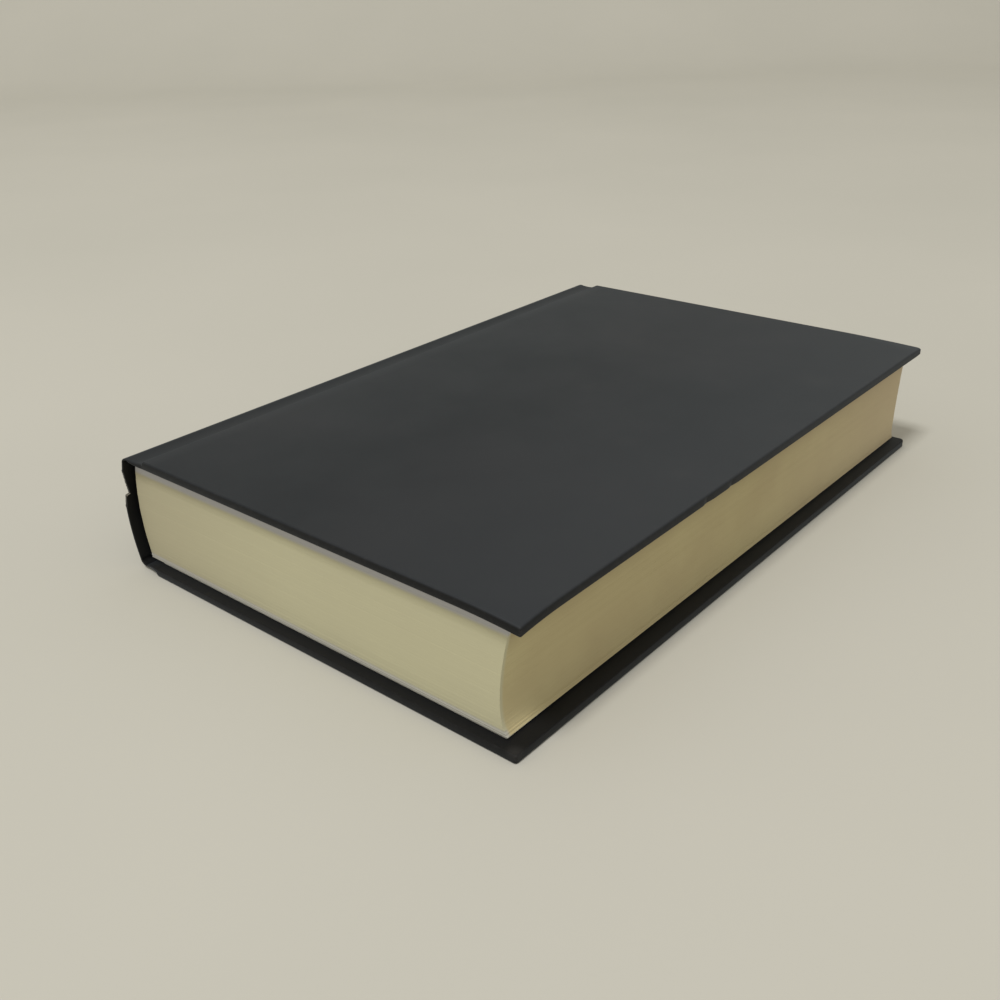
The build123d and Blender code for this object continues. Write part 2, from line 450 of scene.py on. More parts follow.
for plate, board, body in (
    (front_plate, "front_board", "front_cover"),
    (back_plate, "back_board", "back_cover"),
):
    plate.data.materials.append(greyboard)
    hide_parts(board)
    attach(plate, body)

# Spine lining. A strip of brown kraft paper, glued over the gauze on the round page spine.
# Its surface has long pale and dark fibres that run along the strip.
kraft_fibre = 0.5 * mm
kraft_fibre_length = 6 * mm


def pressed_fibre(name, fibre_width, fibre_length, dark, pale, relief, depth, roughness):
    """A material of pressed fibres, dark and pale, of one width and length and in faint relief."""
    material, surface, place = new_material(name)
    scale = (1 / fibre_width, 1 / fibre_length, 1 / fibre_width)
    fibre_place = add_node(material, "ShaderNodeMapping", {"Vector": place, "Scale": scale})
    fibres = add_node(
        material, "ShaderNodeTexNoise", {"Vector": fibre_place.outputs[0], "Scale": 1, "Detail": 4}
    )
    tone = add_node(
        material, "ShaderNodeMix", {"Factor": fibres.outputs[0], 6: dark, 7: pale}, data_type="RGBA"
    )
    bump = add_node(
        material, "ShaderNodeBump", {"Height": fibres.outputs[0], "Strength": relief, "Distance": depth}
    )
    fill_inputs(material, surface, {
        "Base Color": tone.outputs[2], "Normal": bump.outputs[0], "Roughness": roughness, "IOR": 1.5,
    })
    return material


kraft = pressed_fibre(
    "brown_kraft_lining_paper", kraft_fibre, kraft_fibre_length,
    linear("8E6E4A"), linear("B3946C"), relief=0.3, depth=0.05 * mm, roughness=0.8,
)
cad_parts["spine_lining"].data.materials.clear()
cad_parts["spine_lining"].data.materials.append(kraft)

# Spine inlay. Thin dark grey card behind the covering, which keeps the hollow spine round.
# At the tail it is torn away with the covering.
card_fibre = 0.6 * mm
inlay_card = pressed_fibre(
    "grey_flexible_spine_card", card_fibre, card_fibre,
    linear("3B3935"), linear("4E4B45"), relief=0.4, depth=0.08 * mm, roughness=0.85,
)
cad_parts["spine_inlay"].data.materials.clear()
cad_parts["spine_inlay"].data.materials.append(inlay_card)

# Covering. One sheet of charcoal paper, pasted round both boards and the inlay and turned in by
# 15 mm. It is made as two halves that meet along the middle of the spine. At the joints it is
# pressed into shallow grooves.
spine_low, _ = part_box("spine_covering")
back_low, back_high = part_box("back_covering")
case_half = (cover_high.y - cover_low.y) / 2
turn_in = 15 * mm
sheet = 0.22 * mm
# A stack is the folded sheet with what it is folded round. An inset is measured from the sheet's end.
spine_stack = 1.0 * mm
groove_stack = 0.5 * mm
edge_round = 0.6 * mm
under_round = 0.25 * mm
plain_inset = 2.2 * mm
# The section: its groove's depth, the line of the joint, each shoulder, and the wall of the board.
groove_bottom = 39.5 * mm
shoulder_x = -76.75 * mm
shoulder_z = 36.8 * mm
shoulder_round = 3.0 * mm
groove_angle = 12
board_fillet = 0.5 * mm
joint_slack = 0.9 * mm
board_wall = cover_low.x - 0.1 * mm
inner_face = cover_low.z
arris_reach = 0.55 * mm
# Steps of the section: round back, shoulder, groove, the fillet at its end, and the board's arris.
back_steps = 51
shoulder_steps = 10
groove_steps = 10
fillet_steps = 4
arris_steps = 5
# The spine's stack thins to the groove's, which has no card in it, over this many shoulder steps.
card_end_steps = 3

# The round back of the spine is an arc that runs into the small arc of each shoulder.
reach_back = spine_low.x - shoulder_x
rise = shoulder_z - middle
back_round = (shoulder_round**2 - reach_back**2 - rise**2) / (2 * (reach_back + shoulder_round))
back_centre = spine_low.x + back_round
back_angle = math.degrees(math.asin(rise / (back_round - shoulder_round)))

# Torn chip at the tail of the spine: height above the underside, and how far the tear goes in.
# Only its steep step, the ledge, shows pale fibre.
tear = (
    (21.0 * mm, 0), (25.6 * mm, 0.6 * mm), (25.85 * mm, 1.85 * mm),
    (31.3 * mm, 0.74 * mm), (34.9 * mm, 0),
)
tear_jag = 0.1 * mm
ledge_low = 25.25 * mm
ledge_high = 26.0 * mm

# Dents in the lower arris of the front board's fore-edge: place along it, and depth. Each has
# pushed the arris up by a share of its depth.
dents = ((-37.5 * mm, 0.3 * mm), (-23.5 * mm, 0.25 * mm))
dent_width = 1.2 * mm
dent_lift = 0.5

# Rubbing: little along the arrises, more in the dents and most at the corners.
arris_wear = 0.2
corner_wear = 1.0
dent_wear = 0.1


def tear_depth(z):
    """How far the tear reaches in at one height of the spine."""
    for (low_z, low_cut), (high_z, high_cut) in zip(tear, tear[1:]):
        if low_z < z < high_z:
            return low_cut + (high_cut - low_cut) * (z - low_z) / (high_z - low_z)
    return 0


def arc(centre_x, centre_z, radius, first, last, steps, stack):
    """Stations along an arc of the section: outer point and inner point of the folded stack."""
    stations = []
    for step in range(steps + 1):
        angle = math.radians(first + (last - first) * step / steps)
        across, up = math.cos(angle), math.sin(angle)
        out = (centre_x + radius * across, centre_z + radius * up)
        inner = (centre_x + (radius - stack) * across, centre_z + (radius - stack) * up)
        stations.append((out, inner))
    return stations


def section_stations(board_shift):
    """Stations from the middle of the spine to the board's edge, as for the front half."""
    wall = board_wall + board_shift
    turn_end = 90 - groove_angle
    back_end = 180 - back_angle
    stations = arc(back_centre, middle, back_round, 180, back_end, back_steps, spine_stack)
    turn = arc(
        shoulder_x, shoulder_z, shoulder_round, back_end, turn_end, shoulder_steps, groove_stack
    )
    for number, (out, inner) in enumerate(turn[1:]):
        share = max(0, 1 - (number + 1) / card_end_steps)
        spread = (out[0] - inner[0], out[1] - inner[1])
        stations.append((out, (inner[0] - spread[0] * share, inner[1] - spread[1] * share)))
    start_x, start_z = stations[-1][0]
    fillet_x = wall - board_fillet
    for step in range(1, groove_steps + 1):
        share = step / groove_steps
        x = start_x + (fillet_x - start_x) * share
        z = start_z - (start_z - groove_bottom) * 4 * share * (1 - share)
        inner_z = inner_face + joint_slack * (1 - share) ** 2
        stations.append(((x, z), (x, min(z - groove_stack, inner_z))))
    fillet_z = start_z + board_fillet
    for step in range(1, fillet_steps + 1):
        angle = math.radians(270 + 90 * step / fillet_steps)
        x = fillet_x + board_fillet * math.cos(angle)
        z = fillet_z + board_fillet * math.sin(angle)
        stations.append(((x, z), (x, inner_face)))
    top_round = cover_high.z - fillet_z
    for step in range(1, arris_steps + 1):
        angle = math.radians(180 - 90 * step / arris_steps)
        x = wall + arris_reach + arris_reach * math.cos(angle)
        z = fillet_z + top_round * math.sin(angle)
        stations.append(((x, z), (x, inner_face)))
    return stations


# The fold at the sheet's ends: the steps of each of its two rounds, how small they are where it is
# torn, the flat strip beside each, and one line partway along the turn-in.
fold_steps = 3
torn_round = 0.05
fold_lead = 0.2 * mm
turn_in_line = 6 * mm
first_fold = 2
last_fold = first_fold + 2 * fold_steps + 1


def fold_rings(stack, torn):
    """The folded end of the sheet, from outer to inner side: inset from the end, and depth."""
    outer = min(edge_round, stack / 2) * (torn_round if torn else 1)
    under = min(under_round, stack / 2) * (torn_round if torn else 1)
    folds = [(plain_inset, 0), (outer + fold_lead, 0)]
    for turn in range(fold_steps + 1):
        angle = math.radians(90 * turn / fold_steps)
        folds.append((outer * (1 - math.sin(angle)), outer * (1 - math.cos(angle))))
    for turn in range(fold_steps + 1):
        angle = math.radians(90 - 90 * turn / fold_steps)
        folds.append((under * (1 - math.sin(angle)), stack - under * (1 - math.cos(angle))))
    for inset in (under + fold_lead, plain_inset, turn_in_line, turn_in):
        folds.append((inset, stack))
    return folds


# Rows of the sheet between its folded ends, closer towards the ends and at the dents.
fold_count = len(fold_rings(cover_paper, False))
side_steps = 56
dent_steps = 4
dent_row = 0.35 * mm
side_rows = [-math.cos(math.pi * step / side_steps) for step in range(side_steps + 1)]
for dent_y, _ in dents:
    for step in range(-dent_steps, dent_steps + 1):
        side_rows.append((dent_y + step * dent_row) / (case_half - plain_inset))
side_rows.sort()

# Steps across the board, which crowd towards the fore-edge, and steps round its corners.
board_steps = 40
crowding = 1.6
corner_turns = 8
# A shallower cut than this is no tear. A tear frays the outer rings of the fold, and the painted
# shade of the edges and turn-ins comes in over two of them.
least_cut = 0.02 * mm
frayed_rings = 6
shade_rings = 2
weld_distance = 0.004 * mm
crease_angle = math.radians(50)


def add_grid(mesh, rows, skip=None):
    """Add a patch of faces over rows of points, except where skip says so."""
    made = [[mesh.verts.new(point) for point in row] for row in rows]
    for here, (row, ahead) in enumerate(zip(made, made[1:])):
        for number in range(len(row) - 1):
            if skip is None or not skip(here, number):
                corners = (row[number], row[number + 1], ahead[number + 1], ahead[number])
                mesh.faces.new(corners)
    return made


def thicken(piece, thickness, offset):
    """Give a sheet its thickness: inwards for offset -1, to both sides for offset 0."""
    solidify = piece.modifiers.new("sheet_thickness", "SOLIDIFY")
    solidify.thickness = thickness
    solidify.offset = offset
    bpy.context.view_layer.update()
    solid = piece.evaluated_get(bpy.context.evaluated_depsgraph_get())
    data = bpy.data.meshes.new_from_object(solid)
    data.set_sharp_from_angle(angle=crease_angle)
    piece.modifiers.clear()
    piece.data = data


def covering_half(name, lean_x, lean_y, tail_round, head_round, front):
    """Half of the covering sheet, from the middle of the spine round one board."""
    stations = section_stations(lean_x)
    spine_count = len(stations)
    first_x = stations[-1][0][0]
    fore_x = cover_high.x + lean_x
    board_stack = cover_high.z - inner_face
    torn_stations = set()

    def placed(x, y, z):
        """A point of the half as made, moved to where the used book has it."""
        share = min(1, max(0, (x - shoulder_x) / (first_x - shoulder_x)))
        moved_y = y + lean_y * share * share * (3 - 2 * share)
        return (x, moved_y, z - droop(x, moved_y, z)) if front else (x, moved_y, 2 * middle - z)

    def arris(ring, amount):
        """A mark that only the folded edge carries."""
        return amount if first_fold <= ring <= last_fold else 0

    def unshaded(ring):
        """How free a ring of the fold is of the painted shade of the edges and turn-ins: wholly on the
        outer face, not at all once the fold has turned down.
        """
        return min(1, max(0, (first_fold + fold_steps - ring) / shade_rings))

    def station_line(number):
        """One line over the sheet: each point, how worn and torn it is, and how free of painted shade.
        """
        out, inner = stations[min(number, spine_count - 1)]
        on_board = number >= spine_count
        share = 1 - (1 - (number - spine_count + 1) / board_steps) ** crowding if on_board else 0
        stack = board_stack if on_board else math.hypot(out[0] - inner[0], out[1] - inner[1])
        cut = tear_depth(out[1]) if front and out[0] < shoulder_x else 0
        is_torn = cut > least_cut
        if is_torn:
            torn_stations.add(number)
            cut += random.uniform(-1, 1) * tear_jag
        pale = 1 if is_torn and ledge_low < out[1] < ledge_high else 0

        def at(inset, depth, y, corner):
            """The line's point at a place across the book. It stops short of a rounded corner."""
            if on_board:
                x = first_x + (fore_x - max(inset, corner) - first_x) * share
                return placed(x, y, cover_high.z - depth)
            part = depth / stack
            x = out[0] + (inner[0] - out[0]) * part
            return placed(x, y, out[1] + (inner[1] - out[1]) * part)

        line = []
        for ring, (inset, depth) in reversed(list(enumerate(fold_rings(stack, is_torn)))):
            frayed = random.uniform(0, 1) * tear_jag if is_torn and ring <= frayed_rings else 0
            point = at(inset, depth, -case_half + cut + frayed + inset, tail_round)
            line.append((point, arris(ring, arris_wear), arris(ring, pale), unshaded(ring)))
        for side in side_rows[1:-1]:
            point = at(plain_inset, 0, side * (case_half - plain_inset), tail_round)
            line.append((point, 0, 0, 1))
        for ring, (inset, depth) in enumerate(fold_rings(stack, False)):
            point = at(inset, depth, case_half - inset, head_round)
            line.append((point, arris(ring, arris_wear), 0, unshaded(ring)))
        return line

    def fore_edge_line(ring, inset, depth):
        """One line round the board's two corners and along its fore-edge, with the same marks."""
        z = cover_high.z - depth
        line = []
        for side, corner in ((-1, tail_round), (1, head_round)):
            centre_inset = max(inset, corner)
            swing = centre_inset - inset
            turns = range(corner_turns + 1)
            for turn in turns if side < 0 else reversed(turns):
                angle = math.radians(90 - 90 * turn / corner_turns)
                x = fore_x - centre_inset + swing * math.cos(angle)
                y = side * (case_half - centre_inset + swing * math.sin(angle))
                line.append((placed(x, y, z), arris(ring, corner_wear), 0, unshaded(ring)))
            if side > 0:
                break
            for row in side_rows[1:-1]:
                y = row * (case_half - max(inset, tail_round if row < 0 else head_round))
                pressed, worn = 0, arris_wear
                if front and first_fold <= ring <= last_fold:
                    for dent_y, dent_depth in dents:
                        near = math.exp(-(((y - dent_y) / dent_width) ** 2))
                        pressed += dent_depth * near * depth / board_stack
                        worn += dent_wear * near * depth / board_stack
                point = placed(fore_x - inset - pressed, y, z + dent_lift * pressed)
                line.append((point, arris(ring, worn), 0, unshaded(ring)))
        return line

    mesh = bmesh.new()
    wear_mark = mesh.verts.layers.float.new("wear")
    torn_mark = mesh.verts.layers.float.new("torn")
    # Painted shade mask: 1 on the outer faces, 0 on the edges and turn-ins that are painted darker.
    unshaded_mark = mesh.verts.layers.float.new("unshaded")
    across = [station_line(number) for number in range(spine_count + board_steps)]
    folds = enumerate(fold_rings(board_stack, False))
    round_edge = [fore_edge_line(ring, *fold) for ring, fold in folds]
    end_faces = range(fold_count - 1 - last_fold, fold_count - 1 - first_fold)

    def open_tear(here, number):
        """The faces across the folded end, which a tear leaves open."""
        return here in torn_stations and here + 1 in torn_stations and number in end_faces

    for lines, skip in ((across, open_tear), (round_edge, None)):
        made = add_grid(mesh, [[point for point, *_ in line] for line in lines], skip)
        for row, line in zip(made, lines):
            for vertex, (_, worn, torn, light) in zip(row, line):
                vertex[wear_mark] = worn
                vertex[torn_mark] = torn
                vertex[unshaded_mark] = light
    bmesh.ops.remove_doubles(mesh, verts=mesh.verts, dist=weld_distance)
    bmesh.ops.recalc_face_normals(mesh, faces=mesh.faces)
    outward = 1 if front else -1
    outermost = max(mesh.faces, key=lambda face: face.calc_center_median().z * outward)
    if outermost.normal.z * outward < 0:
        bmesh.ops.reverse_faces(mesh, faces=mesh.faces)
    piece = mesh_piece(name, mesh, smooth=True)
    thicken(piece, sheet, -1)
    return piece


random.seed(23)
lean_y = (cover_high.y + cover_low.y) / 2
back_lean_x = back_low.x - cover_low.x
back_lean_y = (back_high.y + back_low.y) / 2
front_sheet = covering_half(
    "covering_front_half", 0, lean_y, corner_round, front_head_round, front=True
)
back_sheet = covering_half(
    "covering_back_half", back_lean_x, back_lean_y, back_tail_round, back_head_round, front=False
)

# Uncoated charcoal covering paper, dyed through: matt and softly mottled, with a fine tooth that is
# drawn at 0.6 mm, twice its size. The outer faces are painted lighter towards the fore-edge, a painted
# sheen, and the edges and turn-ins darker, a painted shade. A fuzz of fibre gives the faces a pale
# sheen at low angles.
tooth_size = 0.6 * mm
mottle_size = 38 * mm
tint_size = 85 * mm
rub_size = 1.6 * mm
charcoal = linear("1F2225")
charcoal_light = linear("24272A")
charcoal_warm = linear("26272A")
# Painted sheen: the lighter tone towards the fore-edge.
charcoal_painted_sheen = linear("323538")
# Painted shade: the dark tone of the edges and turn-ins.
charcoal_painted_shade = linear("0E0E0F")
rubbed = linear("4C4A48")
torn_fibre = linear("A39C8E")
# Rubbed smudges: place, size and strength. The last one is at a bumped corner.
smudges = (
    (Vector((69.1, -29.0, 40.8)) * mm, 5 * mm, 0.16),
    (Vector((4.5, 12.5, 40.8)) * mm, 7 * mm, 0.16),
    (Vector((43.1, -19.1, 40.8)) * mm, 6 * mm, 0.16),
    (Vector((65.6, 65.1, 40.8)) * mm, 9 * mm, 0.16),
    (Vector((79.6, -120.3, 2.7)) * mm, 3.5 * mm, 0.5),
)

covering_paper, surface, place = new_material("matt_charcoal_covering_paper")
patterns = []
for size, detail, roughness in (
    (tooth_size, 2, 0.5), (mottle_size, 5, 0.6), (tint_size, 2, 0.5), (rub_size, 4, 0.5),
):
    patterns.append(add_node(
        covering_paper, "ShaderNodeTexNoise",
        {"Vector": place, "Scale": 1 / size, "Detail": detail, "Roughness": roughness},
    ).outputs[0])
tooth, mottle, tint, rub = patterns
axes = add_node(covering_paper, "ShaderNodeSeparateXYZ", {"Vector": place})
face = charcoal
for layer in (
    (charcoal_light, mottle, 0.35, 0.7, 1),
    (charcoal_warm, tint, 0.45, 0.7, 0.8),
    # Painted sheen: lighter towards the fore-edge.
    (charcoal_painted_sheen, axes.outputs["X"], 0, cover_high.x, 0.7),
):
    face = lay_tone(covering_paper, face, *layer)
# Painted shade: the edges and turn-ins take the dark charcoal, the outer faces keep their tone.
light_share = add_node(covering_paper, "ShaderNodeAttribute", {}, attribute_name="unshaded")
smudged = add_node(
    covering_paper, "ShaderNodeMix",
    {"Factor": light_share.outputs["Fac"], 6: charcoal_painted_shade, 7: face}, data_type="RGBA",
)
for smudge_place, smudge_size, smudge_strength in smudges:
    away = add_node(
        covering_paper, "ShaderNodeVectorMath", {0: place, 1: smudge_place}, operation="DISTANCE"
    )
    near = add_node(
        covering_paper, "ShaderNodeMapRange",
        {
            "Value": away.outputs["Value"], "From Max": smudge_size,
            "To Min": smudge_strength, "To Max": 0,
        },
        interpolation_type="SMOOTHSTEP",
    )
    patchy = add_node(
        covering_paper, "ShaderNodeMath", {0: near.outputs[0], 1: mottle}, operation="MULTIPLY"
    )
    smudged = add_node(
        covering_paper, "ShaderNodeMix", {"Factor": patchy.outputs[0], 6: smudged.outputs[2], 7: rubbed},
        data_type="RGBA",
    )
wear_share = add_node(covering_paper, "ShaderNodeAttribute", {}, attribute_name="wear")
rub_share = add_node(
    covering_paper, "ShaderNodeMapRange",
    {"Value": rub, "From Min": 0.5, "From Max": 0.72, "To Max": 0.4},
)
worn_share = add_node(
    covering_paper, "ShaderNodeMath", {0: wear_share.outputs["Fac"], 1: rub_share.outputs[0]},
    operation="MULTIPLY",
)
worn = add_node(
    covering_paper, "ShaderNodeMix", {"Factor": worn_share.outputs[0], 6: smudged.outputs[2], 7: rubbed},
    data_type="RGBA",
)
torn_share = add_node(covering_paper, "ShaderNodeAttribute", {}, attribute_name="torn")
torn_edge = add_node(
    covering_paper, "ShaderNodeMix",
    {"Factor": torn_share.outputs["Fac"], 6: worn.outputs[2], 7: torn_fibre}, data_type="RGBA",
)
cover_bump = add_node(
    covering_paper, "ShaderNodeBump", {"Height": tooth, "Strength": 0.25, "Distance": 0.05 * mm}
)
cover_rough = add_node(
    covering_paper, "ShaderNodeMapRange", {"Value": mottle, "To Min": 0.66, "To Max": 0.54}
)
fill_inputs(covering_paper, surface, {
    "Base Color": torn_edge.outputs[2], "Normal": cover_bump.outputs[0],
    "Roughness": cover_rough.outputs[0], "IOR": 1.45, "Specular IOR Level": 0.25,
    "Sheen Weight": 0.2, "Sheen Roughness": 0.35, "Sheen Tint": linear("D2E3F2"),
})

for half_sheet, cover, lean, replaced in (
    (front_sheet, "front_cover", 0, ("front_covering", "spine_covering")),
    (back_sheet, "back_cover", back_lean_x, ("back_covering", "spine_covering")),
):
    half_sheet.data.materials.append(covering_paper)
    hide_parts(*replaced)
    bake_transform(half_sheet)

# Gauze. An open, starched cotton weave, glued round the page spine under the lining. It runs out
# under both grooves and is pasted to the inside of each board, where the endpaper hides it.
gauze_low, gauze_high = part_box("front_mull_flange")
gauze_z = (gauze_low.z + gauze_high.z) / 2
gauze_half_width = (gauze_high.y - gauze_low.y) / 2
gauze_thick = 0.16 * mm
thread_pitch = 1.1 * mm
gauze_lift = 0.12 * mm
# How it turns from the page spine into the joint: across and up from the corner of the pages.
gauze_turn = ((0.25 * mm, 0.35 * mm), (0.75 * mm, 0.58 * mm))
# Steps round half of the spine, across the joint, over the flange, and from tail to head.
round_steps = 12
joint_steps = 8
flange_steps = 6
width_steps = 24


def sheet_piece(name, rows, thickness):
    """A sheet of even thickness through rows of points."""
    mesh = bmesh.new()
    add_grid(mesh, rows)
    piece = mesh_piece(name, mesh, smooth=True)
    thicken(piece, thickness, 0)
    return piece


def gauze_half(name, lean_x, lean_y, front):
    """Half of the gauze, from the middle of the page spine to the edge of its flange."""
    path = []
    spread = math.degrees(math.asin(page_half_rise / page_radius))
    radius = page_radius + gauze_lift
    for step in range(round_steps + 1):
        angle = math.radians(180 - spread * step / round_steps)
        path.append((page_centre_x + radius * math.cos(angle), middle + radius * math.sin(angle)))
    corner_x = page_spine_x(page_high.z)
    for across, up in gauze_turn:
        path.append((corner_x + across, page_high.z + up))
    strip_x, strip_z = path[-1]
    end_x = gauze_low.x + lean_x
    for step in range(1, joint_steps + 1):
        share = step / joint_steps
        path.append((strip_x + (end_x - strip_x) * share, strip_z + (gauze_z - strip_z) * share))
    for step in range(1, flange_steps + 1):
        path.append((end_x + (gauze_high.x - gauze_low.x) * step / flange_steps, gauze_z))
    rows = []
    for x, z in path:
        share = min(1, max(0, (x - shoulder_x) / (end_x - shoulder_x)))
        line = []
        for step in range(width_steps + 1):
            y = gauze_half_width * (2 * step / width_steps - 1) + lean_y * share
            line.append((x, y, z if front else 2 * middle - z))
        rows.append(line)
    return sheet_piece(name, rows, gauze_thick)


front_gauze = gauze_half("gauze_front_half", 0, lean_y, front=True)
back_gauze = gauze_half("gauze_back_half", back_lean_x, back_lean_y, front=False)

# Starched cotton gauze: pale threads both ways, 1.1 mm apart, with darker glue between them.
# At scale 1 the wave pattern repeats every pi / 10.
gauze, surface, place = new_material("starched_cotton_gauze")
wave_repeat = math.pi / 10
thread_scale = wave_repeat / thread_pitch
threads = []
for direction in ("X", "Y"):
    threads.append(add_node(
        gauze, "ShaderNodeTexWave", {"Vector": place, "Scale": thread_scale, "Distortion": 0.4},
        bands_direction=direction,
    ))
weave = add_node(
    gauze, "ShaderNodeMath", {0: threads[0].outputs["Fac"], 1: threads[1].outputs["Fac"]},
    operation="MAXIMUM",
)
threaded = add_node(
    gauze, "ShaderNodeMix", {"Factor": weave.outputs[0], 6: linear("A39A82"), 7: linear("DDD6C4")},
    data_type="RGBA",
)
gauze_bump = add_node(
    gauze, "ShaderNodeBump", {"Height": weave.outputs[0], "Strength": 0.6, "Distance": 0.1 * mm}
)
fill_inputs(gauze, surface, {
    "Base Color": threaded.outputs[2], "Normal": gauze_bump.outputs[0], "Roughness": 0.9, "IOR": 1.5,
})

for half_gauze, cover, lean, replaced in (
    (front_gauze, "front_cover", 0, ("front_mull_flange", "spine_mull")),
    (back_gauze, "back_cover", back_lean_x, ("back_mull_flange", "spine_mull")),
):
    half_gauze.data.materials.append(gauze)
    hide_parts(*replaced)
    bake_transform(half_gauze)

# Endpapers. One folded white sheet at each end of the block: half is pasted to the board over the
# turn-ins, whose edges show through as a soft ridge, and half is a free flyleaf, tipped to the pages.
paste_low, paste_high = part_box("front_pastedown")
flyleaf_low, flyleaf_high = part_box("front_flyleaf")
back_flyleaf_low, back_flyleaf_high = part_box("back_flyleaf")
end_sheet = 0.14 * mm
pasted_z = inner_face - 0.05 * mm
fold_z = flyleaf_high.z - 0.02 * mm
ridge_width = 1.3 * mm
ridge_reach = 1.25 * ridge_width
ridge_steps = 10
sink_depth = 0.2 * mm
paste_trim = 0.7 * mm
joint_margin = 3 * mm
# Cockles of the free half: their height, a lift off the pages, how close together they lie, and how
# much they differ between the two sheets. Near its fold the sheet is too stiff for them.
cockle_height = 0.04 * mm
cockle_lift = 0.6
cockles_per_metre = 22
cockle_change = 90
fold_stiffness = 20 * mm
flange_edge = gauze_high.x
turn_in_edge = cover_high.x - turn_in
window_half = case_half - turn_in
# Steps of the pasted half: over the joint, the flange, the board, and the turn-ins at the fore-edge
# and at each end, and from tail to head. Then the free half's, across it and from tail to head.
over_joint = 12
over_flange = 5
over_board = 16
over_fore_edge = 3
over_end = 4
tail_to_head = 30
free_across = 30
free_along = 40


def between(low, high, steps):
    """Evenly spaced grid lines."""
    return [low + (high - low) * step / steps for step in range(steps + 1)]


def ridge_lines(edge):
    """Grid lines close enough on both sides of an edge to show its soft ridge."""
    return between(edge - ridge_reach, edge + ridge_reach, ridge_steps)


def smooth_share(distance, width):
    """A soft step from 0 to 1 over a width."""
    share = min(1, max(0, distance / width + 0.5))
    return share * share * (3 - 2 * share)


def pasted_half(name, lean_x, lean_y, front):
    """The pasted half of an endpaper with its strip across the joint, down to the fold."""
    half = (paste_high.y - paste_low.y) / 2 - paste_trim
    inner = 2 * ridge_width
    columns = between(flyleaf_low.x, paste_low.x, over_joint)
    columns += between(paste_low.x + joint_margin, flange_edge - inner, over_flange)
    columns += ridge_lines(flange_edge)
    columns += between(flange_edge + inner, turn_in_edge - inner, over_board)
    columns += ridge_lines(turn_in_edge)
    columns += between(turn_in_edge + inner, paste_high.x, over_fore_edge)
    lines = between(-half, -window_half - inner, over_end) + ridge_lines(-window_half)
    lines += between(-window_half + inner, window_half - inner, tail_to_head)
    lines += ridge_lines(window_half) + between(window_half + inner, half, over_end)
    rows = []
    for x in columns:
        line = []
        for y in lines:
            joint_share = min(1, (x - flyleaf_low.x) / (paste_low.x - flyleaf_low.x))
            climb = joint_share * joint_share * (3 - 2 * joint_share)
            sunk = smooth_share(x - flange_edge, ridge_width)
            sunk *= smooth_share(turn_in_edge - x, ridge_width)
            sunk *= smooth_share(window_half - abs(y), ridge_width)
            z = fold_z + (pasted_z - fold_z) * climb + sink_depth * sunk
            place_x = x + lean_x * joint_share
            place_y = y + lean_y * joint_share
            z = z - droop(place_x, place_y, z) if front else 2 * middle - z
            line.append((place_x, place_y, z))
        rows.append(line)
    return sheet_piece(name, rows, end_sheet)


def free_half(name, low, high, front):
    """The flyleaf: a sheet that rests on the pages, very slightly cockled away from its fold."""
    rows = []
    centre_z = (low.z + high.z) / 2
    for x in between(low.x, high.x, free_across):
        line = []
        free_share = min(1, (x - low.x) / fold_stiffness)
        for y in between(low.y, high.y, free_along):
            spot = Vector((x * cockles_per_metre, y * cockles_per_metre, centre_z * cockle_change))
            cockle = (noise.noise(spot) + cockle_lift) * cockle_height * free_share
            line.append((x, y, centre_z + cockle if front else centre_z - cockle))
        rows.append(line)
    return sheet_piece(name, rows, end_sheet)


front_pasted = pasted_half("pastedown_front", 0, lean_y, front=True)
back_pasted = pasted_half("pastedown_back", back_lean_x, back_lean_y, front=False)
front_free = free_half("flyleaf_front", flyleaf_low, flyleaf_high, front=True)
back_free = free_half("flyleaf_back", back_flyleaf_low, back_flyleaf_high, front=False)

# Smooth white endpaper, heavier than the leaves: matt, faintly warm, with a very fine cloud of fibre.
fibre_cloud = 3 * mm
sheet_cloud = 45 * mm
endpaper, surface, place = new_material("smooth_white_endpaper")
fibre_noise = add_node(
    endpaper, "ShaderNodeTexNoise", {"Vector": place, "Scale": 1 / fibre_cloud, "Detail": 5}
)
sheet_noise = add_node(
    endpaper, "ShaderNodeTexNoise", {"Vector": place, "Scale": 1 / sheet_cloud, "Detail": 3}
)
white = add_node(
    endpaper, "ShaderNodeMix",
    {"Factor": fibre_noise.outputs[0], 6: linear("D3CFC5"), 7: linear("DDDAD2")}, data_type="RGBA",
)
clouded = lay_tone(
    endpaper, white.outputs[2], linear("CFC8B7"), sheet_noise.outputs[0], 0.4, 0.8, 0.25
)
end_bump = add_node(
    endpaper, "ShaderNodeBump",
    {"Height": fibre_noise.outputs[0], "Strength": 0.2, "Distance": 0.03 * mm},
)
fill_inputs(endpaper, surface, {
    "Base Color": clouded, "Normal": end_bump.outputs[0],
    "Roughness": 0.75, "IOR": 1.5, "Specular IOR Level": 0.35,
})

for pasted, cover, lean, replaced in (
    (front_pasted, "front_cover", 0, "front_pastedown"),
    (back_pasted, "back_cover", back_lean_x, "back_pastedown"),
):
    pasted.data.materials.append(endpaper)
    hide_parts(replaced)
    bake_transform(pasted)
for flyleaf, replaced in ((front_free, "front_flyleaf"), (back_free, "back_flyleaf")):
    flyleaf.data.materials.append(endpaper)
    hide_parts(replaced)
    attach(flyleaf, "book_block")

